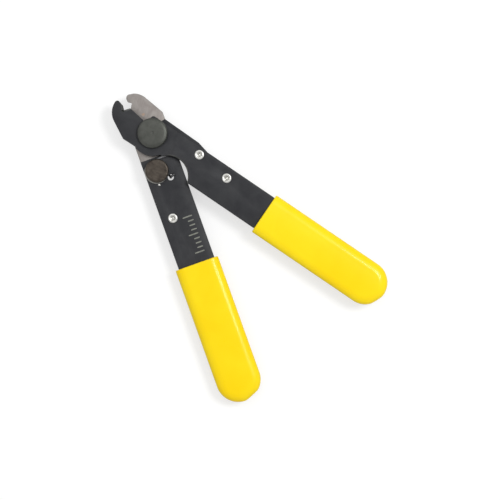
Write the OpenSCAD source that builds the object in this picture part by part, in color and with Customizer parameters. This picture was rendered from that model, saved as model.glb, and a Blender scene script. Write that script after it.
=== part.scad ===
// Fibre stripper: two flat steel levers on one pivot, with V-notched jaws, a return spring behind
// the pivot and dipped vinyl grips. Drawn half open, as the spring holds it.
// Origin: on the pivot's axis, at the flat end of its rear head. +Z runs along the pivot to its
// front head, and +Y points between the jaws. All sizes are in millimetres.
// Each lever has its own flat frame with the pivot at (0, 0) and its handle along -Y.

/* [Levers] */
// Thickness of each lever's plate
plate_t = 2.4; // [2:0.1:3]
// How far the ground hub and jaw faces lie below the handles' faces
ground_step = 0.4; // [0.2:0.05:0.6]
// Distance from the pivot to the inner edge of the front lever's handle
front_inner = 9.3; // [9:0.1:9.6]
// Distance from the pivot to the outer edge of the front lever's handle
front_outer = 6.5; // [6:0.1:7]
// Distance from the pivot to the inner edge of the rear lever's handle
rear_inner = 7; // [6.8:0.1:7.2]
// Distance from the pivot to the outer edge of the rear lever's handle
rear_outer = 9.25; // [8.8:0.05:9.6]
// Distance from the pivot to the end of each lever inside its grip
tang_end = 116; // [100:1:117]
// Radius of the front lever's round hub
hub_r = 9.7; // [9:0.1:10]

/* [Jaws and stops] */
// Angle between the two handles as the spring holds them open
open_angle = 36.1; // [35:0.1:37]
// Angle that the front lever turns through to close the notches
close_travel = 16; // [14:0.5:16]
// Distance from the pivot to the corner of each V notch
notch_r = 16; // [15.8:0.05:16.2]
// Radius of the cut-back beside the rear lever's stop shoulder
relief_r = 6.35; // [6:0.05:6.4]
// Radius of the concave arc that clears the knob
bite_r = 9.15; // [9:0.05:9.6]
// Width of the bevel that sharpens each notch
edge_bevel = 0.8; // [0.4:0.1:1.2]

/* [Pivot and spring] */
// Diameter of the pivot's front head
pivot_head_d = 13; // [12:0.1:14]
// Height of the pivot's front head
pivot_head_t = 2.2; // [1.5:0.1:3]
// Diameter of the pivot's shank
pivot_d = 6; // [5:0.1:6.5]
// Diameter of the spring's wire
wire_d = 1; // [0.9:0.05:1.05]
// Radius of the spring's coil, to the middle of the wire
coil_r = 4.9; // [4.7:0.1:5.5]

/* [Knob and rivets] */
// Diameter of the knob
knob_d = 10.2; // [8:0.1:10.4]
// Height of the knob above its washer
knob_t = 2.1; // [1.5:0.1:2.5]
// Diameter of the small rivets' heads
rivet_head_d = 4.2; // [3.8:0.1:5]
// Diameter of the small rivets' shanks
rivet_d = 3; // [2.5:0.1:3.2]

/* [Grips] */
// Distance from the pivot to the open end of each grip
grip_start = 59.1; // [55:0.1:62]
// Distance from the pivot to the closed end of the rear lever's grip
rear_grip_end = 122.2; // [119:0.1:125]
// Distance from the pivot to the closed end of the front lever's grip
front_grip_end = 121.4; // [119:0.1:125]
// Thickness of each grip, front to back
grip_t = 5.8; // [5:0.1:7]
// Distance from the centre of each grip's round end to the flat cut on its inner side
grip_flat = 9.2; // [8.8:0.1:9.4]
// Radius of the rounding along the grips' edges
grip_round = 2.5; // [1:0.1:2.8]

/* [Hidden] */
$fn = 48;

run_gap = 0.05;                               // running clearance of the pivot and the sliding faces
half_open = open_angle / 2;
closed_angle = open_angle - close_travel;

// Heights of the stack along the pivot, from the rear head forwards
washer_z = 1.2;
coil_z = washer_z + 0.6;
coil_rise = 2.5 * wire_d;
rear_z = coil_z + coil_rise + wire_d + 0.2;
rear_face_z = rear_z + plate_t;
ground_z = rear_face_z - ground_step;
hub_z = ground_z + run_gap;
front_z = hub_z + ground_step + run_gap;
front_face_z = front_z + plate_t;
head_z = hub_z + plate_t + run_gap;
stop_plate_z = rear_z + 0.1;
backing_t = 1.8;
backing_z = rear_z - backing_t;
knob_washer_t = 0.5;

front_step_y = -10.4;                         // where the front lever's face starts to rise
rear_step_y = -9.9;                           // where the rear lever's ground face ends
joggle_y = -7.4;                              // where the front lever's back starts to rise
step_run = 1.2;                               // length of the slope beside each of these
past = 30;                                    // length that reaches past any jaw or edge

// Places in each lever's frame
stop_rivets = [[3.65, -21.9], [1.95, -37.3]];
knob_at = [-3.7, -15.8];
knob_washer_shift = [-0.45, -0.27];
pin_at = [-4.85, -21.7];
backing_rivet_at = [-4.15, -37.3];
spring_hole = [0.9, -20.3];
spring_hook = [2.9, -19.6];
spring_slot = [5.2, -13];
bite_at = [-12, -15.5];
front_notch = notch_r * [cos(85), sin(85)];
rear_notch = notch_r * [cos(105), sin(105)];
front_notch_legs = [[3.55, 14.2], [2.75, 17.4]];
rear_notch_legs = [[-5.65, 16.5], [-5.5, 13.2]];

steel = [0.62, 0.6, 0.57];
black_steel = [0.2, 0.2, 0.21];
bronze = [0.28, 0.26, 0.24];
vinyl = [1, 0.87, 0.02];

// Points along an arc round c, from angle a0 to a1
function arc(c, r, a0, a1, n) = [for (i = [0:n]) let (a = a0 + (a1 - a0) * i / n) c + r * [cos(a), sin(a)]];

// A point p of the rear lever's frame, seen in the front lever's frame with the tool closed
function when_closed(p) = let (c = cos(closed_angle), s = sin(closed_angle))
    [p[0] * c + p[1] * s, p[1] * c - p[0] * s];

module rear_pose() { rotate([0, 0, -half_open]) children(); }
module front_pose() { rotate([0, 0, half_open]) children(); }
module at(p, z = 0) { translate([p[0], p[1], z]) children(); }

// Cuts the bevel that sharpens the edge from p to q, with the steel on its left. side is 1 on a
// front face and -1 on a rear one.
module sharpening_cut(p, q, z, side) {
    run = q - p;
    length = norm(run);
    depth = 1.6;
    over_run = 1;
    translate([p[0], p[1], z]) rotate([0, 0, atan2(run[1], run[0])]) rotate([90, 0, 90])
        translate([0, 0, -over_run]) linear_extrude(length + 2 * over_run)
            polygon([[-0.03, 0.02 * side], [-0.03, -depth * side], [edge_bevel, 0.02 * side]]);
}

/* Levers */

// The tapered end of a lever inside its grip, from its left side x0 round to its right side x1
function tang_tip(x0, x1) = [
    [x0, 5 - tang_end], [x0 + 1.5, 1.5 - tang_end], [x0 + 4.5, -tang_end],
    [x1 - 4.5, -tang_end], [x1 - 1.5, 1.5 - tang_end], [x1, 5 - tang_end]
];

// Its right side, jaw and left side down to the neck, where the concave arc cuts in, then the tang
module front_outline() {
    jaw_edge = [[2.4, 6], [2.75, 8.5], front_notch_legs[0], front_notch, front_notch_legs[1]];
    difference() {
        union() {
            polygon(concat(
                [[front_outer, 3.4], [6.1, 4.1], [4.4, 4.65]],
                jaw_edge,
                arc([2.15, 19.75], 1.2, 0, 90, 5),
                arc([2.2, 12.7], 8.25, 92, 153, 8),
                [[-9.1, 9.2], [-8.95, 2.5], [-7.5, 0], [-5.9, -7.7], [-5, -12], [-front_inner, -22]],
                tang_tip(-front_inner, front_outer)
            ));
            intersection() {
                circle(hub_r);
                translate([-past, -10]) square([past, 12.4]);
            }
        }
        at(bite_at) circle(bite_r);
    }
}

module rear_outline() {
    jaw_edge = [[-4.7, 6.6], [-5.9, 12.8], rear_notch_legs[1], rear_notch, rear_notch_legs[0]];
    polygon(concat(
        [[-rear_outer, 1.5], [-6.8, 4.6], [-4.5, 5.4]],
        jaw_edge,
        arc([-4.1, 17.85], 1.65, 180, 95, 5),
        arc([-4.31, 11.95], 7.56, 72, 30.6, 6),
        [[7.05, 7.5], [7.1, 4.18], [5.25, 3.95]],
        arc([0, 0], relief_r, 37, -5, 6),
        [[rear_inner, -1]],
        [for (i = [5:-1:0]) tang_tip(-rear_outer, rear_inner)[i]]
    ));
}

// Space for a lever inside its grip, open at the grip's start
module tang_space(x0, x1) {
    polygon(concat(tang_tip(x0, x1), [[x1, 1 - grip_start], [x0, 1 - grip_start]]));
}

// The front lever's side profile: its hub and jaw are joggled back by the ground step
module front_side() {
    polygon([
        [-past * 5, front_z], [joggle_y - step_run, front_z], [joggle_y, hub_z], [past, hub_z],
        [past, hub_z + plate_t], [front_step_y, hub_z + plate_t],
        [front_step_y - step_run, front_face_z], [-past * 5, front_face_z]
    ]);
}

// The rear lever's side profile: flat behind, with its hub and jaw ground down in front
module rear_side() {
    polygon([
        [-past * 5, rear_z], [past, rear_z], [past, ground_z], [rear_step_y, ground_z],
        [rear_step_y - step_run, rear_face_z], [-past * 5, rear_face_z]
    ]);
}

// Cuts an outline from a bar with the side profile given as the second child
module formed_plate() {
    intersection() {
        linear_extrude(20) children(0);
        translate([-past, 0, 0]) rotate([90, 0, 90]) linear_extrude(past * 2) children(1);
    }
}

module front_lever() {
    color(black_steel) front_pose() difference() {
        formed_plate() {
            front_outline();
            front_side();
        }
        cylinder(h = 20, d = pivot_d + 2 * run_gap);
        for (p = stop_rivets) at(p) cylinder(h = 20, d = rivet_d);
        sharpening_cut(front_notch_legs[0], front_notch, hub_z + plate_t, 1);
        sharpening_cut(front_notch, front_notch_legs[1], hub_z + plate_t, 1);
        at(bite_at, front_face_z) rotate_extrude($fn = 96)
            polygon([[bite_r - 1, 0.1], [bite_r - 1, -0.5], [bite_r, -0.5], [bite_r + 0.6, 0.1]]);
    }
}

module rear_lever() {
    color(steel) rear_pose() difference() {
        formed_plate() {
            rear_outline();
            rear_side();
        }
        cylinder(h = 20, d = pivot_d);
        at(knob_at) cylinder(h = 20, d = 4);
        at(pin_at) cylinder(h = 20, d = 1);
        at(backing_rivet_at) cylinder(h = 20, d = rivet_d);
        at(spring_hole) cylinder(h = 20, d = 2.7);
        sharpening_cut(rear_notch, rear_notch_legs[1], rear_z, -1);
        sharpening_cut(rear_notch_legs[0], rear_notch, rear_z, -1);
    }
}

/* Stop plate and backing plate */

// Its upper end meets the rear lever's shoulder when open, and its inner edge meets that lever's
// inner edge when closed.
module stop_plate_outline() {
    polygon([
        [6.6, 0.05], [8.2, -0.9], [7.9, -18.6], [front_outer + 0.1, -24.1], [6.3, -40],
        [4.6, -42.6], [-2.6, -42.6], [-5.2, -40],
        when_closed([rear_inner + 0.1, -36]), when_closed([rear_inner + 0.1, -0.9])
    ]);
}

module stop_plate() {
    color(black_steel) front_pose() difference() {
        intersection() {
            at([0, 0], stop_plate_z) linear_extrude(20) stop_plate_outline();
            translate([-past, 0, 0]) rotate([90, 0, 90]) linear_extrude(past * 2) polygon([
                [-past * 5, 0], [past, 0], [past, hub_z], [joggle_y, hub_z],
                [joggle_y - step_run, front_z], [-past * 5, front_z]
            ]);
        }
        for (p = stop_rivets) at(p) cylinder(h = 20, d = rivet_d);
        at(spring_slot) cylinder(h = 20, d = wire_d + 0.5);
    }
}

module rear_backing_plate() {
    color(black_steel) rear_pose() at([0, 0], backing_z) difference() {
        linear_extrude(backing_t) polygon([
            [-9, -12.5], [-7.6, -11], [-3.4, -11], [-1.25, -16.3], [-1.25, -24], [3.6, -40],
            [2, -42.6], [-6.6, -42.6], [-9, -40]
        ]);
        at(knob_at, -1) cylinder(h = 5, d = 4);
        at(pin_at, -1) cylinder(h = 5, d = 1);
        at(backing_rivet_at, -1) cylinder(h = 5, d = rivet_d);
    }
}

/* Fasteners */

// Semi-tubular rivet from its factory head at z0 to its rolled, hollow end above z1
module small_rivet(z0, z1) {
    head_t = 0.8;
    roll_t = 0.55;
    difference() {
        union() {
            at([0, 0], z0 - head_t) cylinder(h = head_t, d1 = rivet_head_d, d2 = rivet_head_d + 0.8);
            at([0, 0], z0) cylinder(h = z1 - z0, d = rivet_d);
            at([0, 0], z1) cylinder(h = roll_t, d1 = rivet_head_d, d2 = rivet_head_d - 1);
        }
        at([0, 0], z1 - 1.2) cylinder(h = 3, d = 1.7);
    }
}

module stop_plate_rivets() {
    color("gainsboro") front_pose() for (p = stop_rivets) at(p) small_rivet(stop_plate_z, front_face_z);
}

module backing_plate_rivet() {
    color("gainsboro") rear_pose() at(backing_rivet_at) small_rivet(backing_z, rear_face_z);
}

module locating_pin() {
    color("gainsboro") rear_pose() at(pin_at, backing_z) cylinder(h = rear_face_z - backing_z, d = 1);
}

module pivot_rivet() {
    head_r = pivot_head_d / 2;
    rear_head_r = 4.5;
    shank_r = pivot_d / 2;
    color(bronze) rotate_extrude($fn = 96) polygon([
        [0, 0], [rear_head_r - 0.5, 0], [rear_head_r, 0.5], [rear_head_r, washer_z],
        [shank_r, washer_z], [shank_r, head_z], [head_r - 0.1, head_z], [head_r, head_z + 0.3],
        [head_r, head_z + pivot_head_t - 0.9], [head_r - 0.9, head_z + pivot_head_t - 0.2],
        [head_r - 1.6, head_z + pivot_head_t], [0.5, head_z + pivot_head_t],
        [0.35, head_z + pivot_head_t - 0.25], [0, head_z + pivot_head_t - 0.25]
    ]);
}

module pivot_washer() {
    color(steel) at([0, 0], washer_z) difference() {
        cylinder(h = coil_z - washer_z, d = 12);
        at([0, 0], -1) cylinder(h = 5, d = pivot_d);
    }
}

module spring_sleeve() {
    color(steel) at([0, 0], coil_z) difference() {
        cylinder(h = rear_z - coil_z, d = 8);
        at([0, 0], -1) cylinder(h = 8, d = pivot_d);
    }
}

/* Knob */

module knob_washer() {
    color(black_steel) rear_pose() difference() {
        at(knob_at + knob_washer_shift, rear_face_z) cylinder(h = knob_washer_t, d = knob_d);
        at(knob_at) cylinder(h = 20, d = 4);
    }
}

module stop_knob() {
    knob_z = rear_face_z + knob_washer_t;
    r = knob_d / 2;
    tail_z = backing_z - 1;
    color(bronze) rear_pose() at(knob_at) rotate_extrude($fn = 96) polygon([
        [0, tail_z], [2.6, tail_z], [3, tail_z + 0.4], [3, backing_z], [2, backing_z],
        [2, knob_z], [r - 0.2, knob_z], [r, knob_z + 0.2], [r, knob_z + knob_t - 0.6],
        [r - 0.6, knob_z + knob_t], [0, knob_z + knob_t]
    ]);
}

/* Spring */

// The wire's path: a hook in front of the rear lever's hole, a straight leg behind that lever, the
// coil, and a second leg to the hole in the stop plate. Closing the tool winds the coil tighter.
function turned(p, a) = [p[0] * cos(a) - p[1] * sin(a), p[0] * sin(a) + p[1] * cos(a)];
function lifted(p, z) = [p[0], p[1], z];
function between(p, q, f) = p + f * (q - p);
hole_at = turned(spring_hole, -half_open);
hook_at = turned(spring_hook, -half_open);
slot_at = turned(spring_slot, half_open);
top_wire_z = rear_z - wire_d / 2 - 0.1;
low_wire_z = coil_z + wire_d / 2 + 0.1;
hook_z = rear_face_z + wire_d / 2 + 0.05;
// Angles at which the two legs meet the coil along its tangent
leg_in_a = atan2(hole_at[1], hole_at[0]) - acos(coil_r / norm(hole_at));
leg_out_a = atan2(slot_at[1], slot_at[0]) + acos(coil_r / norm(slot_at));
leg_in_at = coil_r * [cos(leg_in_a), sin(leg_in_a)];
leg_out_at = coil_r * [cos(leg_out_a), sin(leg_out_a)];
coil_sweep = leg_out_a - leg_in_a - 360 * 3;
coil_steps = 56;
spring_path = concat(
    [lifted(hook_at, hook_z), lifted(between(hole_at, hook_at, 0.4), hook_z)],
    [lifted(between(hole_at, hook_at, 0.1), hook_z - 0.2), lifted(hole_at, hook_z - 0.7)],
    [lifted(hole_at, top_wire_z + 0.7), lifted(between(hole_at, leg_in_at, 0.01), top_wire_z + 0.2)],
    [lifted(between(hole_at, leg_in_at, 0.035), top_wire_z)],
    [for (i = [0:coil_steps]) let (a = leg_in_a + coil_sweep * i / coil_steps)
        lifted(coil_r * [cos(a), sin(a)], top_wire_z - coil_rise * i / coil_steps)],
    [lifted(between(slot_at, leg_out_at, 0.055), low_wire_z)],
    [lifted(between(slot_at, leg_out_at, 0.016), low_wire_z + 0.2)],
    [lifted(slot_at, low_wire_z + 0.7), lifted(slot_at, front_z - 0.6)]
);

function unit(v) = v / norm(v);
function heading(path, i) = unit(path[min(i + 1, len(path) - 1)] - path[max(i - 1, 0)]);
// Carries a side vector along the path so that the rings don't twist
function carried(path, i, v) = let (t = heading(path, i), s = unit(v - (v * t) * t))
    i == len(path) - 1 ? [s] : concat([s], carried(path, i + 1, s));

module wire(path, d, sides) {
    n = len(path);
    side_vectors = carried(path, 0, [0.3, 0.2, 1]);
    points = [for (i = [0:n - 1]) let (s = side_vectors[i], u = cross(heading(path, i), s))
        for (k = [0:sides - 1]) let (a = 360 * k / sides) path[i] + d / 2 * (cos(a) * s + sin(a) * u)];
    walls = [for (i = [0:n - 2]) for (k = [0:sides - 1]) let (m = (k + 1) % sides)
        [i * sides + k, (i + 1) * sides + k, (i + 1) * sides + m, i * sides + m]];
    first_cap = [for (k = [0:sides - 1]) k];
    last_cap = [for (k = [0:sides - 1]) n * sides - 1 - k];
    polyhedron(points, concat([first_cap], walls, [last_cap]), convexity = 6);
}

module torsion_spring() { color("silver") wire(spring_path, wire_d, 10); }

/* Grips */

// A half circle of radius r round c for a grip's closed end, with a flat across angle flat_a
function end_arc(c, r, flat_a, flat_r) = [for (i = [0:24]) let (a = 180 + 7.5 * i)
    c + min(r, flat_r / max(cos(a - flat_a), 0.1)) * [cos(a), sin(a)]];

// One ring round a grip from its open end to its closed end and back, stepped in by inset from the
// full width between x0 and x1
function grip_ring(x0, x1, end, flat_a, inset, z) = let (
    left = x0 + inset, right = x1 - inset, r = (x1 - x0) / 2,
    outline = concat(
        [[left + 0.2, -grip_start], [left, 20 - end]],
        end_arc([(x0 + x1) / 2, r - end], r - inset, flat_a, grip_flat - inset),
        [[right, 20 - end], [right - 0.3, -grip_start]]
    )) [for (p = outline) lifted(p, z)];

// A grip's solid form, lofted through rings that follow the rounding of its edges
module grip_form(x0, x1, end, flat_a) {
    steps = 5;
    turns = concat([for (i = [steps:-1:0]) [90 * i / steps, -1]], [for (i = [0:steps]) [90 * i / steps, 1]]);
    rings = [for (t = turns) grip_ring(x0, x1, end, flat_a, grip_round * (1 - cos(t[0])),
        t[1] * (grip_t / 2 - grip_round + grip_round * sin(t[0])))];
    n = len(rings[0]);
    last = len(rings) - 1;
    walls = [for (i = [0:last - 1], k = [0:n - 1]) let (m = (k + 1) % n)
        [i * n + k, (i + 1) * n + k, (i + 1) * n + m, i * n + m]];
    polyhedron([for (ring = rings) each ring],
        concat([[for (k = [0:n - 1]) k]], walls, [[for (k = [n - 1:-1:0]) last * n + k]]));
}

module rear_grip() {
    color(vinyl) rear_pose() difference() {
        at([0, 0], (rear_z + rear_face_z) / 2) grip_form(-10.85, 8.6, rear_grip_end, 293);
        at([0, 0], rear_z) linear_extrude(plate_t) tang_space(-rear_outer, rear_inner);
    }
}

module front_grip() {
    color(vinyl) front_pose() difference() {
        at([0, 0], (front_z + front_face_z) / 2) grip_form(-11.1, 7.95, front_grip_end, 246);
        at([0, 0], front_z) linear_extrude(plate_t) tang_space(-front_inner, front_outer);
    }
}

rear_lever();
front_lever();
stop_plate();
stop_plate_rivets();
pivot_rivet();
pivot_washer();
spring_sleeve();
torsion_spring();
stop_knob();
knob_washer();
rear_backing_plate();
backing_plate_rivet();
locating_pin();
rear_grip();
front_grip();
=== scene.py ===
"""Fibre stripper: two joggled steel levers on one pivot, with dipped vinyl grips.

Each lever has its own flat frame with the pivot at (0, 0) and its handle along -Y, turned by half
of the handles' angle. Sizes are in millimetres and become metres where a mesh is written. Values
that go into shaders, lights and the floor are in metres.
"""
import math

import bmesh
import bpy
import numpy as np
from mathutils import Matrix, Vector


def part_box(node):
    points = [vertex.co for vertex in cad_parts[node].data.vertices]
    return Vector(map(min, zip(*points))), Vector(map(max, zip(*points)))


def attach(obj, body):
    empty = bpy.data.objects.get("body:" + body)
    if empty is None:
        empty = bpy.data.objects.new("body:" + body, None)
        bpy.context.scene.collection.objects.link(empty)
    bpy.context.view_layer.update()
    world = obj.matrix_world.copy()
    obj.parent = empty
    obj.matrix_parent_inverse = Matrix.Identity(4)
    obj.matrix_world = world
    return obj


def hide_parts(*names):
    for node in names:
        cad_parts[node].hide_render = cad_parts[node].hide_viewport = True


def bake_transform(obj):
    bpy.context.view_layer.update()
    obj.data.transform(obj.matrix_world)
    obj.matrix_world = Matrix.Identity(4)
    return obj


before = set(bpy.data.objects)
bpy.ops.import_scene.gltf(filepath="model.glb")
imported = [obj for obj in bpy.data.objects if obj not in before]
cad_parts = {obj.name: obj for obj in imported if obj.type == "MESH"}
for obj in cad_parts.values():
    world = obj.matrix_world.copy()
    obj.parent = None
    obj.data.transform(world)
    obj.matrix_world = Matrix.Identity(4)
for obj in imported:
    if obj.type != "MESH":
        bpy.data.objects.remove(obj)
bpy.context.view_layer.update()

MM = 0.001
HALF_OPEN = 18.05                  # angle of each handle from the centreline, in degrees
REAR, FRONT = -HALF_OPEN, HALF_OPEN


# Places from the frame

def box_mm(node):
    """Lowest and highest corner of a CAD node, in millimetres."""
    low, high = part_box(node)
    return np.array(low) / MM, np.array(high) / MM


def turned(points, degrees):
    """Points of a lever's frame in the row frame: x and y turned about the pivot, z kept."""
    a = math.radians(degrees)
    p = np.array(points, float)
    out = p.copy()
    out[..., 0] = p[..., 0] * math.cos(a) - p[..., 1] * math.sin(a)
    out[..., 1] = p[..., 0] * math.sin(a) + p[..., 1] * math.cos(a)
    return out


def levels(node):
    """Lowest and highest level of a CAD node."""
    low, high = box_mm(node)
    return low[2], high[2]


def centre_of(node):
    """Middle of a round CAD node, seen along its axis."""
    low, high = box_mm(node)
    return (low[:2] + high[:2]) / 2


def radius_of(node):
    """Radius of a round CAD node, from its width."""
    low, high = box_mm(node)
    return (high[0] - low[0]) / 2


REAR_Z, REAR_FACE_Z = levels("rear_lever")
FRONT_FACE_Z = levels("front_lever")[1]
BACKING_Z = levels("rear_backing_plate")[0]
STOP_Z = levels("stop_plate")[0]
PLATE_T = REAR_FACE_Z - REAR_Z
FRONT_Z = FRONT_FACE_Z - PLATE_T
STEP_Y = -9.9                      # edge of the rear lever's ground face, in its own frame


# Surfaces

MERGE, SLIVER = 0.002 * MM, 0.0005 * MM              # corners joined and edges removed below these
PLATE_MERGE, PLATE_SLIVER = 0.005 * MM, 0.002 * MM   # the same for copies of CAD plates
FLAT_ANGLE = math.radians(0.6)                       # faces nearer in angle are one flat face
BEVEL_ANGLE = math.radians(24)                       # edges sharper than this are rounded
BEVEL_SEGMENTS = 3


def unit(vectors):
    """Each vector over its own length."""
    return vectors / np.maximum(np.linalg.norm(vectors, axis=-1, keepdims=True), 1e-9)


def softened(points, radii, steps=6):
    """A polyline with rounded corners: corner p gives (1-t)^2 a + 2t(1-t) p + t^2 b for t from 0 to
    1, where a and b lie the corner's radius from p towards the points before and after it."""
    p = np.array(points, float)
    r = np.array(radii, float)[:, None]
    a = p + r * unit(np.roll(p, 1, axis=0) - p)
    b = p + r * unit(np.roll(p, -1, axis=0) - p)
    t = np.linspace(0, 1, steps)[None, :, None]
    curve = (1 - t) ** 2 * a[:, None] + 2 * t * (1 - t) * p[:, None] + t ** 2 * b[:, None]
    return curve.reshape(-1, p.shape[1])


def in_scene(name, data):
    """An object of a mesh, light or camera, linked to the scene."""
    made = bpy.data.objects.new(name, data)
    bpy.context.scene.collection.objects.link(made)
    return made


def clean_mesh(mesh, sharp=50.0):
    """Merges doubles, points faces outwards and shades smooth except over edges above sharp."""
    work = bmesh.new()
    work.from_mesh(mesh)
    bmesh.ops.remove_doubles(work, verts=work.verts, dist=MERGE)
    bmesh.ops.dissolve_degenerate(work, edges=work.edges, dist=SLIVER)
    bmesh.ops.recalc_face_normals(work, faces=work.faces)
    work.to_mesh(mesh)
    work.free()
    mesh.polygons.foreach_set("use_smooth", np.ones(len(mesh.polygons), bool))
    mesh.set_sharp_from_angle(angle=math.radians(sharp))
    mesh.update()


def surface(name, grid, close_rows=False, close_columns=False, sharp=50.0):
    """A mesh object through a grid of points (rows, columns, xyz in millimetres)."""
    rows, columns = grid.shape[:2]
    index = np.arange(rows * columns).reshape(rows, columns)
    if close_rows:
        index = np.vstack([index, index[:1]])
    if close_columns:
        index = np.hstack([index, index[:, :1]])
    corners = [index[:-1, :-1], index[1:, :-1], index[1:, 1:], index[:-1, 1:]]
    faces = np.stack(corners, axis=-1).reshape(-1, 4)
    mesh = bpy.data.meshes.new(name)
    mesh.from_pydata((grid.reshape(-1, 3) * MM).tolist(), [], faces.tolist())
    clean_mesh(mesh, sharp)
    return in_scene(name, mesh)


def section(*stages):
    """A turned part's rounded section. Each stage is (base, rows), and each row (radius, height
    above the base, reach of the rounding at that corner)."""
    rows = np.array([(r, base + h, soft) for base, stage in stages for r, h, soft in stage])
    return softened(rows[:, :2], rows[:, 2])


def revolved_grid(profile, centre, turns):
    """A profile of (radius, height) turned about the vertical axis through centre:
    x = cx + r cos a, y = cy + r sin a, z = height."""
    a = np.linspace(0, 2 * np.pi, turns, endpoint=False)
    r, h = np.array(profile).T
    x = centre[0] + r[:, None] * np.cos(a)
    y = centre[1] + r[:, None] * np.sin(a)
    return np.stack([x, y, h[:, None] + 0 * x], axis=-1)


def revolved(name, profile, centre, turns, ring=False):
    """One turned part. Its profile starts and ends on the axis, or closes on itself for a ring."""
    return surface(name, revolved_grid(profile, centre, turns), ring, True)


def joined(name, objects):
    """One object from several meshes."""
    work = bmesh.new()
    for part in objects:
        work.from_mesh(part.data)
        bpy.data.objects.remove(part)
    mesh = bpy.data.meshes.new(name)
    work.to_mesh(mesh)
    work.free()
    return in_scene(name, mesh)


def bevelled_copy(name, node, width):
    """A copy of a CAD plate with its flat faces joined up and its edges rounded by width."""
    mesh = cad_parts[node].data.copy()
    mesh.name = name
    mesh.materials.clear()
    work = bmesh.new()
    work.from_mesh(mesh)
    bmesh.ops.remove_doubles(work, verts=work.verts, dist=PLATE_MERGE)
    bmesh.ops.dissolve_degenerate(work, edges=work.edges, dist=PLATE_SLIVER)
    bmesh.ops.dissolve_limit(work, angle_limit=FLAT_ANGLE, verts=work.verts, edges=work.edges)
    bmesh.ops.recalc_face_normals(work, faces=work.faces)
    work.to_mesh(mesh)
    work.free()
    mesh.polygons.foreach_set("use_smooth", np.ones(len(mesh.polygons), bool))
    made = in_scene(name, mesh)
    bevel = made.modifiers.new("rounded edges", "BEVEL")
    bevel.width = width * MM
    bevel.segments = BEVEL_SEGMENTS
    bevel.limit_method = "ANGLE"
    bevel.angle_limit = BEVEL_ANGLE
    bevel.use_clamp_overlap = True
    bevel.harden_normals = True
    return made


# Shader tools

def add(tree, kind, inputs=None, **settings):
    """A node with its settings, and each named input linked or set."""
    made = tree.nodes.new("ShaderNode" + kind)
    for key, value in settings.items():
        setattr(made, key, value)
    for key, value in (inputs or {}).items():
        socket = made.inputs[key]
        if isinstance(value, bpy.types.NodeSocket):
            tree.links.new(value, socket)
        else:
            socket.default_value = value
    return made


def maths(tree, operation, *values, clamp=False):
    """The result of one Math node."""
    inputs = dict(enumerate(values))
    return add(tree, "Math", inputs, operation=operation, use_clamp=clamp).outputs[0]


def spread(tree, value, low, high, to_low=0.0, to_high=1.0):
    """value mapped from low..high to to_low..to_high, and held inside."""
    inputs = {
        "Value": value, "From Min": low, "From Max": high, "To Min": to_low, "To Max": to_high,
    }
    return add(tree, "MapRange", inputs, clamp=True).outputs[0]


def mixed(tree, factor, first, second):
    """first to second by factor, as colours."""
    made = add(tree, "Mix", data_type="RGBA")
    for index, value in ((0, factor), (6, first), (7, second)):
        socket = made.inputs[index]
        if isinstance(value, bpy.types.NodeSocket):
            tree.links.new(value, socket)
        else:
            socket.default_value = value
    return made.outputs[2]


def group(name, inputs, outputs):
    """An empty shader group with named sockets: (tree, input node, output node)."""
    tree = bpy.data.node_groups.new(name, "ShaderNodeTree")
    for label, kind, default in inputs:
        socket = tree.interface.new_socket(label, in_out="INPUT", socket_type="NodeSocket" + kind)
        socket.default_value = default
    for label, kind in outputs:
        tree.interface.new_socket(label, in_out="OUTPUT", socket_type="NodeSocket" + kind)
    return tree, tree.nodes.new("NodeGroupInput"), tree.nodes.new("NodeGroupOutput")


def edge_wear_and_painted_light_group():
    """Wear along edges, and painted light: how far the rounded normal leans from the true one,
    broken up by noise. The metals use it for worn edges, the bronzed knob for a painted highlight
    round its rim, and the vinyl for painted shade on its rounded edges.
    """
    tree, given, out = group(
        "edge wear and painted light",
        [("Radius", "Float", 0.0004), ("Amount", "Float", 0.5), ("Breakup Scale", "Float", 900.0)],
        [("Mask", "Float")],
    )
    flat = add(tree, "NewGeometry").outputs["True Normal"]
    round_normal = add(tree, "Bevel", {"Radius": given.outputs["Radius"]}, samples=6).outputs[0]
    lean = add(tree, "VectorMath", {0: flat, 1: round_normal}, operation="DOT_PRODUCT")
    edge = spread(tree, lean.outputs["Value"], 0.995, 0.80)
    place = add(tree, "TexCoord").outputs["Object"]
    noise = add(
        tree, "TexNoise",
        {"Vector": place, "Scale": given.outputs["Breakup Scale"], "Detail": 4.0, "Roughness": 0.6},
    ).outputs[0]
    patchy = spread(tree, noise, 0.35, 0.62)
    worn = maths(tree, "MULTIPLY", edge, patchy)
    worn = maths(tree, "MULTIPLY", worn, given.outputs["Amount"], clamp=True)
    tree.links.new(worn, out.inputs["Mask"])
    return tree


def grain_group():
    """Straight grinding or brushing lines: noise stretched along the angle given in radians."""
    tree, given, out = group(
        "brushed grain",
        [("Angle", "Float", 0.0), ("Scale", "Float", 3000.0), ("Stretch", "Float", 0.05)],
        [("Tone", "Float"), ("Height", "Float")],
    )
    place = add(tree, "TexCoord").outputs["Object"]
    turn = add(tree, "CombineXYZ", {"Z": given.outputs["Angle"]}).outputs[0]
    along = add(
        tree, "VectorRotate", {"Vector": place, "Rotation": turn}, rotation_type="EULER_XYZ"
    ).outputs[0]
    squeeze = add(tree, "CombineXYZ", {"X": 1.0, "Y": given.outputs["Stretch"], "Z": 1.0})
    lines = add(tree, "VectorMath", {0: along, 1: squeeze.outputs[0]}, operation="MULTIPLY")
    scale = given.outputs["Scale"]
    noise = add(
        tree, "TexNoise",
        {"Vector": lines.outputs[0], "Scale": scale, "Detail": 3.0, "Roughness": 0.65},
    ).outputs[0]
    tree.links.new(spread(tree, noise, 0.3, 0.7), out.inputs["Tone"])
    tree.links.new(noise, out.inputs["Height"])
    return tree


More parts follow.
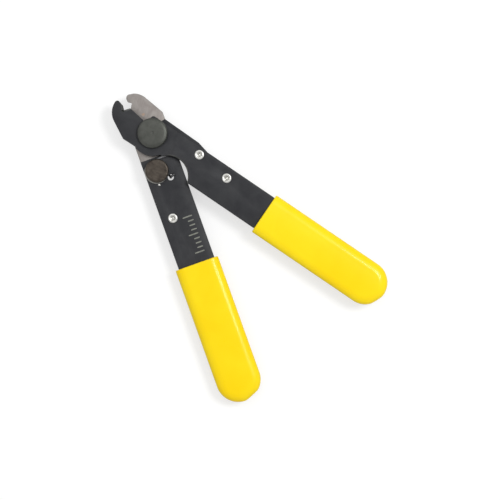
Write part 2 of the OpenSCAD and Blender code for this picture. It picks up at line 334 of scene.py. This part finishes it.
def mottle_group():
    """Two sizes of soft patches, as handling and heat leave on a finish, and fine specks."""
    tree, given, out = group(
        "mottle",
        [("Patch Scale", "Float", 120.0), ("Speck Scale", "Float", 5000.0)],
        [("Patches", "Float"), ("Specks", "Float")],
    )
    place = add(tree, "TexCoord").outputs["Object"]
    patches = add(
        tree, "TexNoise",
        {"Vector": place, "Scale": given.outputs["Patch Scale"], "Detail": 3.0, "Distortion": 0.6},
    ).outputs[0]
    specks = add(
        tree, "TexNoise",
        {"Vector": place, "Scale": given.outputs["Speck Scale"], "Detail": 2.0, "Roughness": 0.7},
    ).outputs[0]
    tree.links.new(spread(tree, patches, 0.35, 0.65), out.inputs["Patches"])
    tree.links.new(specks, out.inputs["Specks"])
    return tree


EDGE_WEAR_AND_PAINTED_LIGHT = edge_wear_and_painted_light_group()
GRAIN = grain_group()
MOTTLE = mottle_group()


def grouped(tree, which, **values):
    """A placed group with its own values; underscores in the names stand for spaces."""
    made = tree.nodes.new("ShaderNodeGroup")
    made.node_tree = which
    for key, value in values.items():
        made.inputs[key.replace("_", " ")].default_value = value
    return made


def material(name, **constants):
    """A material with its Principled BSDF and the values that are the same all over: (material,
    tree, shader)."""
    made = bpy.data.materials.new(name)
    made.use_nodes = True
    tree = made.node_tree
    shader = tree.nodes["Principled BSDF"]
    for key, value in constants.items():
        shader.inputs[key.replace("_", " ")].default_value = value
    return made, tree, shader


def bump(tree, shader, height, distance, strength=1.0):
    """Feeds a height through a Bump node into the shader's normal."""
    made = add(tree, "Bump", {"Height": height, "Strength": strength, "Distance": distance})
    tree.links.new(made.outputs[0], shader.inputs["Normal"])


def rgba(r, g, b):
    """An opaque colour."""
    return (r, g, b, 1.0)


def steel(name, dark, light, worn, roughness, angle=0.0, grain_scale=3000.0, stretch=0.05,
          grain_tone=0.25, wear=0.5, wear_radius=0.0004, patch_scale=120.0, patch_tone=0.5,
          bump_height=0.000006, accent=None, **constants):
    """A metal finish: patches between dark and light, straight grain, edges in the worn colour, and
    an accent of (mask maker, colour) laid over them. On most metals the edges are wear; on the
    bronzed knob they are a painted highlight round its rim."""
    made, tree, shader = material(name, **constants)
    grain = grouped(tree, GRAIN, Angle=angle, Scale=grain_scale, Stretch=stretch)
    mottle = grouped(tree, MOTTLE, Patch_Scale=patch_scale)
    edges = grouped(tree, EDGE_WEAR_AND_PAINTED_LIGHT, Radius=wear_radius, Amount=wear)
    patchy = maths(tree, "MULTIPLY", mottle.outputs["Patches"], patch_tone)
    grained = maths(tree, "MULTIPLY", grain.outputs["Tone"], grain_tone)
    tone = maths(tree, "ADD", patchy, grained, clamp=True)
    body = mixed(tree, tone, rgba(*dark), rgba(*light))
    body = mixed(tree, edges.outputs["Mask"], body, rgba(*worn))
    if accent:
        mask, colour = accent
        body = mixed(tree, mask(tree), body, rgba(*colour))
    tree.links.new(body, shader.inputs["Base Color"])
    rough = maths(tree, "MULTIPLY_ADD", mottle.outputs["Specks"], 0.16, roughness - 0.08)
    rough = maths(tree, "MULTIPLY_ADD", grain.outputs["Tone"], 0.06, rough)
    tree.links.new(rough, shader.inputs["Roughness"])
    height = maths(tree, "ADD", grain.outputs["Height"], mottle.outputs["Specks"])
    bump(tree, shader, height, bump_height)
    return made


FLECK_AT = (0.00175, 0.00915, 0.0075)      # on the bare jaw
FLECK_RAGGED, FLECK_OUTER, FLECK_INNER = 0.0012, 0.0015, 0.0007
# Where the painted highlight on the slope's upper edge lies, in the rear lever's frame
RIM_START, RIM_END = STEP_Y - 0.35, STEP_Y - 0.75
RIM_SIDE, RIM_MIDDLE = -2.2, -0.2


def rust_fleck(tree):
    """A small heat-tinted spot on the jaw: 1 at its centre, falling to 0, with a ragged edge."""
    place = add(tree, "TexCoord").outputs["Object"]
    near = add(tree, "VectorMath", {0: place, 1: FLECK_AT}, operation="DISTANCE")
    ragged = add(tree, "TexNoise", {"Vector": place, "Scale": 1500.0, "Detail": 3.0}).outputs[0]
    reach = maths(tree, "MULTIPLY_ADD", ragged, FLECK_RAGGED, near.outputs["Value"])
    return spread(tree, reach, FLECK_OUTER, FLECK_INNER, 0.0, 0.6)


def painted_rim_highlight(tree):
    """Painted highlight along the upper edge of the rear lever's slope, in that lever's own frame.
    """
    place = add(tree, "TexCoord").outputs["Object"]
    local = add(
        tree, "VectorRotate", {"Vector": place, "Angle": math.radians(HALF_OPEN)},
        rotation_type="Z_AXIS",
    ).outputs[0]
    axes = add(tree, "SeparateXYZ", {0: local})
    down = spread(tree, axes.outputs["Y"], RIM_START * MM, RIM_END * MM)
    across = spread(tree, axes.outputs["X"], RIM_SIDE * MM, RIM_MIDDLE * MM)
    return maths(tree, "MULTIPLY", down, across)


def vinyl():
    """Dipped vinyl: even bright yellow with slow thickness changes, painted shade that darkens its
    rounded edges to amber, faint dimples and a glossy skin."""
    made, tree, shader = material(
        "dipped vinyl", Specular_IOR_Level=0.15, Coat_Weight=0.15, Coat_Roughness=0.12, IOR=1.5
    )
    mottle = grouped(tree, MOTTLE, Patch_Scale=45.0, Speck_Scale=1400.0)
    edges = grouped(tree, EDGE_WEAR_AND_PAINTED_LIGHT, Radius=0.0012, Amount=0.5, Breakup_Scale=300.0)
    body = mixed(tree, mottle.outputs["Patches"], rgba(1.0, 0.70, 0.0), rgba(1.0, 0.76, 0.006))
    # Painted shade: the rounded edges darken to amber
    body = mixed(tree, edges.outputs["Mask"], body, rgba(0.93, 0.60, 0.0))
    tree.links.new(body, shader.inputs["Base Color"])
    rough = maths(tree, "MULTIPLY_ADD", mottle.outputs["Specks"], 0.16, 0.22)
    tree.links.new(rough, shader.inputs["Roughness"])
    wide = maths(tree, "MULTIPLY", mottle.outputs["Patches"], 6.0)
    bump(tree, shader, maths(tree, "ADD", wide, mottle.outputs["Specks"]), 0.00001)
    return made


BLACK_TONES = (0.014, 0.0145, 0.018), (0.028, 0.029, 0.032), (0.085, 0.083, 0.078), 0.5
BLACK_LOOK = dict(
    angle=0.3, grain_scale=2600.0, stretch=0.12, grain_tone=0.3, patch_scale=140.0, patch_tone=0.7,
    wear=0.45, bump_height=0.000012, Specular_IOR_Level=0.3,
)
BLACK = steel("blackened steel", *BLACK_TONES, **BLACK_LOOK)
# The slope's black, with a painted highlight along its upper edge
SLOPE = steel(
    "blackened steel with painted rim highlight", *BLACK_TONES, accent=(painted_rim_highlight, (0.30, 0.30, 0.31)),
    **BLACK_LOOK,
)
# A lighter black, given to the slanted faces of the front lever's cuts and chamfer
LIGHTER_CUT_BLACK = steel(
    "lighter blackened steel", (0.045, 0.047, 0.044), (0.085, 0.086, 0.080), (0.14, 0.14, 0.13), 0.45,
    angle=0.8, grain_scale=2200.0, stretch=0.2, patch_scale=300.0, wear=0.4, bump_height=0.00001,
    Specular_IOR_Level=0.4,
)
GROUND = steel(
    "ground steel", (0.20, 0.180, 0.170), (0.29, 0.270, 0.255), (0.17, 0.170, 0.155), 0.46,
    angle=0.9, grain_scale=2200.0, stretch=0.09, grain_tone=0.4, patch_scale=210.0, patch_tone=0.6,
    wear=0.75, wear_radius=0.0007, bump_height=0.00002, accent=(rust_fleck, (0.42, 0.26, 0.16)),
    Metallic=1.0,
)
PIVOT = steel(
    "dark pivot steel", (0.050, 0.053, 0.046), (0.082, 0.084, 0.076), (0.20, 0.195, 0.185), 0.42,
    angle=0.4, grain_scale=1800.0, stretch=0.3, patch_scale=260.0, patch_tone=0.6, wear=0.35,
    wear_radius=0.0005, bump_height=0.000012, Metallic=0.75,
)
# The knob's bright worn colour at a high wear amount is a painted highlight round its rim
BRONZED = steel(
    "bronzed steel", (0.036, 0.029, 0.024), (0.080, 0.067, 0.055), (0.23, 0.21, 0.175), 0.38,
    angle=-0.5, grain_scale=1500.0, stretch=0.16, grain_tone=0.45, patch_scale=420.0,
    patch_tone=0.6, wear=0.9, wear_radius=0.0005, bump_height=0.00002, Metallic=0.85,
)
RIVET = steel(
    "plated rivet", (0.50, 0.495, 0.47), (0.70, 0.695, 0.665), (0.82, 0.82, 0.80), 0.28,
    grain_scale=2500.0, stretch=0.7, patch_scale=700.0, wear=0.4, wear_radius=0.0002,
    bump_height=0.00001, Metallic=1.0,
)
WIRE = steel(
    "spring wire", (0.045, 0.045, 0.048), (0.085, 0.085, 0.085), (0.16, 0.16, 0.155), 0.36,
    grain_scale=2600.0, stretch=0.4, patch_scale=600.0, wear=0.2, bump_height=0.000008,
    Metallic=0.9,
)
WASHER = steel(
    "zinc washer", (0.22, 0.215, 0.20), (0.34, 0.335, 0.31), (0.46, 0.455, 0.43), 0.4,
    angle=1.2, grain_scale=2300.0, stretch=0.3, patch_scale=400.0, wear=0.5, Metallic=1.0,
)
MARK = steel(
    "etched mark", (0.17, 0.175, 0.15), (0.28, 0.285, 0.25), (0.30, 0.30, 0.27), 0.6,
    grain_scale=4000.0, stretch=0.8, patch_scale=900.0, wear=0.1, Specular_IOR_Level=0.3,
)
VINYL = vinyl()


def placed(piece, body, finish, slot, *nodes):
    """Gives a piece its finish, unless that is None because it has its finishes already, hides
    the CAD nodes it stands for, and lets it ride. Its slot is not used."""
    if finish:
        piece.data.materials.append(finish)
    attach(piece, body)
    if nodes:
        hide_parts(*nodes)


# Levers and plates

def face_data(mesh):
    """Normals and centres of a mesh's faces, the centres in millimetres."""
    normals = np.empty(len(mesh.polygons) * 3)
    centres = np.empty(len(mesh.polygons) * 3)
    mesh.polygons.foreach_get("normal", normals)
    mesh.polygons.foreach_get("center", centres)
    return normals.reshape(-1, 3), centres.reshape(-1, 3) / MM


def finished_faces(piece, finishes, index):
    """Gives a plate several finishes, by the index of each face."""
    for finish in finishes:
        piece.data.materials.append(finish)
    piece.data.polygons.foreach_set("material_index", index.astype(np.int32))


LEVER_EDGE, PLATE_EDGE = 0.22, 0.18    # rounding of the plates' edges

# The ground face lies below the black one, the slope between them leans up, and the notch's bevel
# leans down
rear_plate = bevelled_copy("rear_lever_plate", "rear_lever", LEVER_EDGE)
normals, centres = face_data(rear_plate.data)
upward = normals[:, 2]
ground = (upward > 0.99) & (centres[:, 2] < REAR_FACE_Z - 0.05)
slope = (upward > 0.3) & (upward < 0.99)
notch = (upward < -0.1) & (upward > -0.9)
finished_faces(rear_plate, [BLACK, GROUND, SLOPE], (ground | notch) * 1 + slope * 2)
placed(rear_plate, "rear_half", None, "ground_steel", "rear_lever")

front_plate = bevelled_copy("front_lever_plate", "front_lever", LEVER_EDGE)
upward = face_data(front_plate.data)[0][:, 2]
# The slanted faces of the front lever's cuts and chamfer get the lighter black
cut = (upward > 0.1) & (upward < 0.9)
finished_faces(front_plate, [BLACK, LIGHTER_CUT_BLACK], cut)
placed(front_plate, "front_half", None, "black_steel", "front_lever")

stop = bevelled_copy("stop_plate_steel", "stop_plate", PLATE_EDGE)
placed(stop, "front_half", BLACK, "black_steel", "stop_plate")
backing = bevelled_copy("rear_backing_steel", "rear_backing_plate", PLATE_EDGE)
placed(backing, "rear_half", BLACK, "black_steel", "rear_backing_plate")


# Turned parts

FINE, ROUND, SMALL, TINY = 128, 96, 72, 40   # steps round the turned parts, by their size
PIVOT_SHANK_R, PIVOT_TAIL_R, PIVOT_HEAD_R, PIVOT_HEAD_T = 3, 4.5, 6.5, 2.2
PIVOT_FIT_R = 3.02                     # bore of the parts round the pivot's shank
TAIL_T = 1.2
KNOB_SHANK_R, KNOB_TAIL_R, KNOB_LIFT = 2, 3, 0.5
WASHER_BORE_R = 2.6
RIVET_SHANK_R, RIVET_HEAD_R, RIVET_HEAD_T = 1.5, 2.5, 0.8

PIVOT_TOP = levels("pivot_rivet")[1]
pivot_section = section(
    (0, [(0, 0, 0), (PIVOT_TAIL_R, 0, 0.5)]),
    (TAIL_T, [(PIVOT_TAIL_R, 0, 0.1), (PIVOT_SHANK_R, 0, 0)]),
    (PIVOT_TOP, [
        (PIVOT_SHANK_R, -PIVOT_HEAD_T, 0), (PIVOT_HEAD_R, -PIVOT_HEAD_T, 0.25),
        (PIVOT_HEAD_R, -0.55, 0.55), (5.3, -0.1, 0.6), (2.5, -0.01, 0.8),
        (0.62, 0, 0.08), (0.5, -0.14, 0.08), (0, -0.16, 0),
    ]),
)
placed(
    revolved("pivot_head_and_shank", pivot_section, (0, 0), FINE),
    "rear_half", PIVOT, "dark_rivet", "pivot_rivet",
)

knob_r = radius_of("stop_knob")
knob_tail, knob_top = levels("stop_knob")
knob_section = section(
    (knob_tail, [(0, 0, 0), (KNOB_TAIL_R, 0, 0.4)]),
    (BACKING_Z, [(KNOB_TAIL_R, 0, 0.1), (KNOB_SHANK_R, 0, 0)]),
    (REAR_FACE_Z, [(KNOB_SHANK_R, KNOB_LIFT, 0), (knob_r, KNOB_LIFT, 0.25)]),
    (knob_top, [
        (knob_r, -0.45, 0.3), (knob_r - 0.55, -0.02, 0.3), (knob_r - 1.4, 0, 0.4), (0, -0.05, 0),
    ]),
)
placed(
    revolved("knob_turned", knob_section, centre_of("stop_knob"), FINE),
    "rear_half", BRONZED, "bronzed_steel", "stop_knob",
)


def ring_part(name, node, inner, outer, edge, centre, slot):
    """A washer or tube between a node's levels, with its four corners rounded by edge."""
    low, high = levels(node)
    corners = [(inner, low), (outer, low), (outer, high), (inner, high)]
    ring = revolved(name, softened(corners, [edge] * 4, 4), centre, ROUND, ring=True)
    placed(ring, "rear_half", WASHER, slot, node)


ring_part(
    "knob_washer_disc", "knob_washer", WASHER_BORE_R, radius_of("knob_washer"), 0.12,
    centre_of("knob_washer"), "black_steel",
)
ring_part("pivot_washer_disc", "pivot_washer", PIVOT_FIT_R, 6, 0.12, (0, 0), "ground_steel")
ring_part("sleeve_tube", "spring_sleeve", PIVOT_FIT_R, 4, 0.15, (0, 0), "ground_steel")

pin_r = radius_of("locating_pin")
pin_low, pin_high = levels("locating_pin")
pin_section = section(
    (pin_low, [(0, 0, 0), (pin_r, 0, 0.12)]), (pin_high, [(pin_r, 0.12, 0.16), (0, 0.16, 0)])
)
placed(
    revolved("locating_pin_end", pin_section, centre_of("locating_pin"), TINY),
    "rear_half", RIVET, "bright_rivet", "locating_pin",
)


def small_rivet(name, z0, z1, centre):
    """Semi-tubular rivet from its factory head below z0 to its rolled, hollow end above z1."""
    rivet_section = section(
        (z0, [
            (0, -RIVET_HEAD_T, 0), (2.1, -RIVET_HEAD_T, 0.25), (RIVET_HEAD_R, 0, 0.15),
            (RIVET_SHANK_R, 0, 0),
        ]),
        (z1, [
            (RIVET_SHANK_R, 0, 0), (1.98, 0.02, 0.08), (2.1, 0.25, 0.22), (1.62, 0.56, 0.28),
            (1.12, 0.42, 0.18), (0.98, 0.02, 0.12), (0.92, -0.85, 0.12), (0.62, -0.7, 0.25),
            (0, -0.35, 0),
        ]),
    )
    return revolved(name, rivet_section, centre, SMALL)


low, high = box_mm("stop_plate_rivets")
upper_at = (low[0] + RIVET_HEAD_R, high[1] - RIVET_HEAD_R)
lower_at = (high[0] - RIVET_HEAD_R, low[1] + RIVET_HEAD_R)
pair = [small_rivet("rivet", STOP_Z, FRONT_FACE_Z, centre) for centre in (upper_at, lower_at)]
placed(
    joined("front_rivet_pair", pair), "front_half", RIVET, "bright_rivet", "stop_plate_rivets"
)
placed(
    small_rivet("rear_rivet", BACKING_Z, REAR_FACE_Z, centre_of("backing_plate_rivet")),
    "rear_half", RIVET, "bright_rivet", "backing_plate_rivet",
)


# Spring

WIRE_R = 0.5
COIL_R = 4.9
COIL_STEPS = 170
WIRE_BEND = 0.8                        # reach of the rounding where the wire turns
HOLE = turned([0.9, -20.3, 0], REAR)
HOOK = turned([2.9, -19.6, 0], REAR)
SLOT = turned([5.2, -13, 0], FRONT)
LOW_WIRE_Z = levels("torsion_spring")[0] + WIRE_R
TOP_WIRE_Z = REAR_Z - WIRE_R - 0.1
HOOK_Z = REAR_FACE_Z + WIRE_R + 0.05


def spring_path():
    """The wire's centreline: hook, leg behind the rear lever, coil at COIL_R falling steadily, and
    the leg up into the stop plate. The coil's points are COIL_R (cos a, sin a)."""
    start_a = math.atan2(HOLE[1], HOLE[0]) - math.acos(COIL_R / np.linalg.norm(HOLE))
    end_a = math.atan2(SLOT[1], SLOT[0]) + math.acos(COIL_R / np.linalg.norm(SLOT)) - 6 * math.pi
    a = np.linspace(start_a, end_a, COIL_STEPS)
    coil_z = np.linspace(TOP_WIRE_Z, LOW_WIRE_Z, len(a))
    coil = np.stack([COIL_R * np.cos(a), COIL_R * np.sin(a), coil_z], axis=-1)
    up = np.array([0, 0, 1.0])
    first = softened(
        [HOOK + HOOK_Z * up, HOLE + HOOK_Z * up, HOLE + TOP_WIRE_Z * up, coil[0]],
        [0, WIRE_BEND, WIRE_BEND, 0], 8,
    )
    last = softened(
        [coil[-1], SLOT + LOW_WIRE_Z * up, SLOT + (FRONT_Z - 0.6) * up], [0, WIRE_BEND, 0], 8
    )
    path = np.vstack([first, coil, last])
    moved = np.linalg.norm(np.diff(path, axis=0), axis=1) > 1e-4
    return path[np.concatenate([[True], moved])]


def wire(name, path, radius, sides=14):
    """A round wire: path + r (cos a s + sin a u), where s is square to the heading and to a fixed
    slanting line, and u is square to both. Past each end come a ring of 0.8 r and a point."""
    heading = unit(np.gradient(path, axis=0))
    s = unit(np.cross(heading, [0.1, -0.5, 0.6]))
    u = np.cross(heading, s)
    a = np.linspace(0, 2 * np.pi, sides, endpoint=False)
    ring = np.cos(a)[None, :, None] * s[:, None] + np.sin(a)[None, :, None] * u[:, None]
    grid = path[:, None] + radius * ring
    first = path[0] + 0.8 * radius * ring[:1] - heading[0] * 0.1
    last = path[-1] + 0.8 * radius * ring[-1:] + heading[-1] * 0.1
    first_tip = np.repeat((path[:1] - heading[:1] * 0.12)[:, None], sides, axis=1)
    last_tip = np.repeat((path[-1:] + heading[-1:] * 0.12)[:, None], sides, axis=1)
    rows = [first_tip, first, grid, last, last_tip]
    return surface(name, np.concatenate(rows), close_columns=True)


spring = wire("torsion_spring_wire", spring_path(), WIRE_R)
spring.data.materials.append(WIRE)
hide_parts("torsion_spring")
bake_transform(spring)


# Grips

GRIP_START_Y = -59.1                   # open end of the sleeves
LIP = 0.55                             # rounding of its rim
GRIP_EDGE, GRIP_RISE = 4.6, 2.72       # width and height of the section's elliptic edge
GRIP_CROWN = 0.18                      # further rise to the middle of the face
FACET_R = 9.2                          # the facet's distance from the centre of the closed end
FACET_BLEND = 6                        # how sharply it runs into the circle, per millimetre
SLOT_GAP, SLOT_DEPTH = 0.02, 4         # the mouth's gap over the plate, and its depth


def soft_least(a, b):
    """About the lesser of two lengths: -ln(exp(-k a) + exp(-k b)) / k, where k is FACET_BLEND."""
    return -np.log(np.exp(-a * FACET_BLEND) + np.exp(-b * FACET_BLEND)) / FACET_BLEND


def grip_section(half):
    """The section from the middle of the front face, round the edge, to the middle of the rear
    face, as shares of the way from the edge to the middle, and heights. With p from 0 to 90
    degrees the edge is inset GRIP_EDGE (1 - cos p) and height GRIP_RISE sin p. With t from 0 to 1
    the face rises by GRIP_CROWN (1 - (1 - t)^2)."""
    p = np.radians(np.linspace(0, 90, 15))
    t = np.linspace(0, 1, 9)[1:]
    inset = np.concatenate([GRIP_EDGE * (1 - np.cos(p)), GRIP_EDGE + t * (half - GRIP_EDGE)])
    height = np.concatenate([GRIP_RISE * np.sin(p), GRIP_RISE + GRIP_CROWN * (1 - (1 - t) ** 2)])
    share = inset / half
    share = np.concatenate([share[::-1], share[1:]])
    return share, np.concatenate([height[::-1], -height[1:]])


def grip_body(x0, x1, end_y, facet_angle):
    """The sleeve outside its open end. Rows follow the outline down one side, round the closed
    end, which is a circle cut by a facet at facet_angle, and back. Columns go over the section,
    drawn from the outline towards the sleeve's middle line."""
    middle, half = (x0 + x1) / 2, (x1 - x0) / 2
    centre_y = end_y + half
    top_y = GRIP_START_Y - LIP
    side_y = top_y - np.linspace(0, 1, 34) ** 1.3 * (top_y - centre_y)
    angles = np.linspace(-180, 0, 91)[1:-1]
    facet = FACET_R / np.maximum(np.cos(np.radians(angles - facet_angle)), 0.2)
    reach = soft_least(half, facet)
    end_x = middle + reach * np.cos(np.radians(angles))
    end = np.stack([end_x, centre_y + reach * np.sin(np.radians(angles))], axis=-1)
    left = np.stack([np.full_like(side_y, x0), side_y], axis=-1)
    right = np.stack([np.full_like(side_y, x1), side_y], axis=-1)[::-1]
    outer = np.vstack([left, end, right])
    medial_y = np.clip(outer[:, 1], centre_y, None)
    medial_y[len(left):-len(right)] = centre_y
    medial = np.stack([np.full(len(outer), middle), medial_y], axis=-1)
    share, height = grip_section(half)
    xy = outer[:, None] + share[None, :, None] * (medial - outer)[:, None]
    return np.concatenate([xy, np.broadcast_to(height, xy.shape[:2])[..., None]], axis=-1)


def lip_rows(side_row, middle, half, slot_edge):
    """Rows from a side's first section inwards. Round the lip, with a from 0 to 90 degrees, the
    section shrinks by LIP (1 - cos a) and rises by LIP sin a. Then come the mouth, which fits the
    plate's edge with steep round corners, the same row SLOT_DEPTH further in, and its far end."""
    rows = []
    for a in np.radians(np.linspace(0, 90, 6)[1:]):
        scale = 1 - LIP * (1 - math.cos(a)) / np.array([half, GRIP_RISE + GRIP_CROWN])
        row = side_row.copy()
        row[:, 0] = middle + (row[:, 0] - middle) * scale[0]
        row[:, 2] *= scale[1]
        row[:, 1] = GRIP_START_Y - LIP + LIP * math.sin(a)
        rows.append(row)
    k = np.linspace(-1, 1, len(side_row))
    mouth = np.stack([
        middle + (slot_edge - middle) * np.clip((1 - np.abs(k)) / 0.75, 0, 1),
        np.full(len(k), GRIP_START_Y),
        (PLATE_T / 2 + SLOT_GAP) * np.clip(-k / 0.25, -1, 1),
    ], axis=-1)
    deep = mouth.copy()
    deep[:, 1] = GRIP_START_Y - SLOT_DEPTH
    closed = deep.copy()
    closed[:, 2] = 0
    return np.array(rows + [mouth, deep, closed])


def grip(name, x0, x1, slot_x0, slot_x1, end_y, facet_angle, z_mid, pose):
    """A dipped sleeve as one grid: its body between the lips of its two sides."""
    middle, half = (x0 + x1) / 2, (x1 - x0) / 2
    body = grip_body(x0, x1, end_y, facet_angle)
    left_lip = lip_rows(body[0], middle, half, slot_x0)[::-1]
    right_lip = lip_rows(body[-1], middle, half, slot_x1)
    grid = np.concatenate([left_lip, body, right_lip])
    grid[..., 2] += z_mid
    return surface(name, turned(grid, pose), sharp=60.0)


rear_sleeve = grip(
    "rear_grip_sleeve", -10.85, 8.6, -9.3, 7.05, -122.2, -67, (REAR_Z + REAR_FACE_Z) / 2, REAR
)
placed(rear_sleeve, "rear_half", VINYL, "vinyl", "rear_grip")
front_sleeve = grip(
    "front_grip_sleeve", -11.1, 7.95, -9.35, 6.55, -121.4, -114, (FRONT_Z + FRONT_FACE_Z) / 2,
    FRONT,
)
placed(front_sleeve, "front_half", VINYL, "vinyl", "front_grip")


# A plain scale of etched lines on the rear handle

TICKS, TICK_STEP, TICK_WIDTH = 9, 2.0, 0.55
TICK_TOP_Y, TICK_END_X = -38.8, 4.1
LONG_START_X, SHORT_START_X, LONG_EVERY = -0.3, 1.5, 4


def tick(x0, x1, y, width):
    """One line as a low mound: the superellipse (x/a)^4 + (y/b)^4 = 1 shrunk over five rows."""
    a, b = (x1 - x0) / 2, width / 2
    t = np.linspace(0, 2 * np.pi, 32, endpoint=False)
    c, s = np.cos(t), np.sin(t)
    ring = np.stack([a * np.sign(c) * np.abs(c) ** 0.5, b * np.sign(s) * np.abs(s) ** 0.5], axis=-1)
    levels = np.array([(0, -0.02), (1, -0.02), (1, 0.012), (0.93, 0.02), (0, 0.02)])
    grid = np.concatenate([
        levels[:, 0, None, None] * ring[None],
        np.broadcast_to(levels[:, 1, None, None], (len(levels), len(t), 1)),
    ], axis=-1) + np.array([(x0 + x1) / 2, y, REAR_FACE_Z])
    return surface("tick", turned(grid, REAR), close_columns=True)


ticks = []
for i in range(TICKS):
    start_x = SHORT_START_X if i % LONG_EVERY else LONG_START_X
    ticks.append(tick(start_x, TICK_END_X, TICK_TOP_Y - TICK_STEP * i, TICK_WIDTH))
placed(joined("scale_marks", ticks), "rear_half", MARK, "bright_rivet")


# Floor, light and camera

FLOOR_HALF, FLOOR_Z = 2, -0.0002       # half its width, and its level
FLOOR_TONE, FLOOR_GLOW = 0.42, 0.62    # its colour, and its own light where a ray looks at it
SKY_LIGHT = 0.52                       # the world's strength for the light that falls on the tool
SKY_LOW, SKY_HIGH = 0.75, 1.0          # reflections of the world darken between these heights
SKY_TOP = 0.45                         # to this strength at the top

corners = [(-1, -1), (1, -1), (1, 1), (-1, 1)]
floor_mesh = bpy.data.meshes.new("floor")
floor_mesh.from_pydata(
    [(x * FLOOR_HALF, y * FLOOR_HALF, FLOOR_Z) for x, y in corners], [], [(0, 1, 2, 3)]
)
floor = in_scene("floor", floor_mesh)
floor_material, tree, shader = material(
    "pale floor", Base_Color=rgba(FLOOR_TONE, FLOOR_TONE, FLOOR_TONE), Roughness=0.9,
    Specular_IOR_Level=0.0, Emission_Color=rgba(1, 1, 1),
)
path = add(tree, "LightPath")
seen = maths(tree, "MAXIMUM", path.outputs["Is Camera Ray"], path.outputs["Is Glossy Ray"])
seen = maths(tree, "MAXIMUM", seen, path.outputs["Is Transmission Ray"])
tree.links.new(maths(tree, "MULTIPLY", seen, FLOOR_GLOW), shader.inputs["Emission Strength"])
floor.data.materials.append(floor_material)

world = bpy.data.worlds.new("studio")
bpy.context.scene.world = world
world.use_nodes = True
tree = world.node_tree
backdrop = tree.nodes["Background"]
backdrop.inputs["Color"].default_value = rgba(1, 1, 1)
path = add(tree, "LightPath")
direction = add(tree, "TexCoord").outputs["Generated"]
height = add(tree, "SeparateXYZ", {0: direction}).outputs["Z"]
ceiling = spread(tree, height, SKY_LOW, SKY_HIGH, 1.0, SKY_TOP)
sky = rgba(SKY_LIGHT, SKY_LIGHT, SKY_LIGHT)
lit = mixed(tree, path.outputs["Is Glossy Ray"], sky, ceiling)
seen = maths(tree, "MAXIMUM", path.outputs["Is Camera Ray"], path.outputs["Is Transmission Ray"])
strength = mixed(tree, seen, lit, rgba(1, 1, 1))
tree.links.new(strength, backdrop.inputs["Strength"])

CAMERA_TURN = -37.75                   # the camera's turn about the vertical, in degrees
AIM = np.array([2.41, -65.40, 9.5])    # point of the tool's front plane below the camera
VIEW_WIDTH = 215.3                     # width that the camera takes in at that plane
LENS, SENSOR = 100.0, 36.0


def area_light(name, offset, size, power):
    """A square soft light that faces the tool, placed by its offset in metres to the camera's
    right, to the camera's top, and upwards."""
    data = bpy.data.lights.new(name, "AREA")
    data.shape = "SQUARE"
    data.size = size
    data.energy = power
    light = in_scene(name, data)
    offset = turned(offset, CAMERA_TURN)
    light.location = np.array([AIM[0], AIM[1], 0]) * MM + offset
    light.rotation_mode = "QUATERNION"
    light.rotation_quaternion = Vector(-offset).to_track_quat("-Z", "Y")


area_light("key", [0.42, 0.20, 0.80], 0.26, 3.9)
area_light("top", [-0.25, 0.45, 1.1], 0.9, 2.6)

camera_data = bpy.data.cameras.new("camera")
camera_data.lens = LENS
camera_data.sensor_width = SENSOR
camera = in_scene("camera", camera_data)
camera.location = (AIM + [0, 0, VIEW_WIDTH * LENS / SENSOR]) * MM
camera.rotation_euler = (0, 0, math.radians(CAMERA_TURN))
bpy.context.scene.camera = camera
bpy.context.scene.view_settings.view_transform = "Standard"
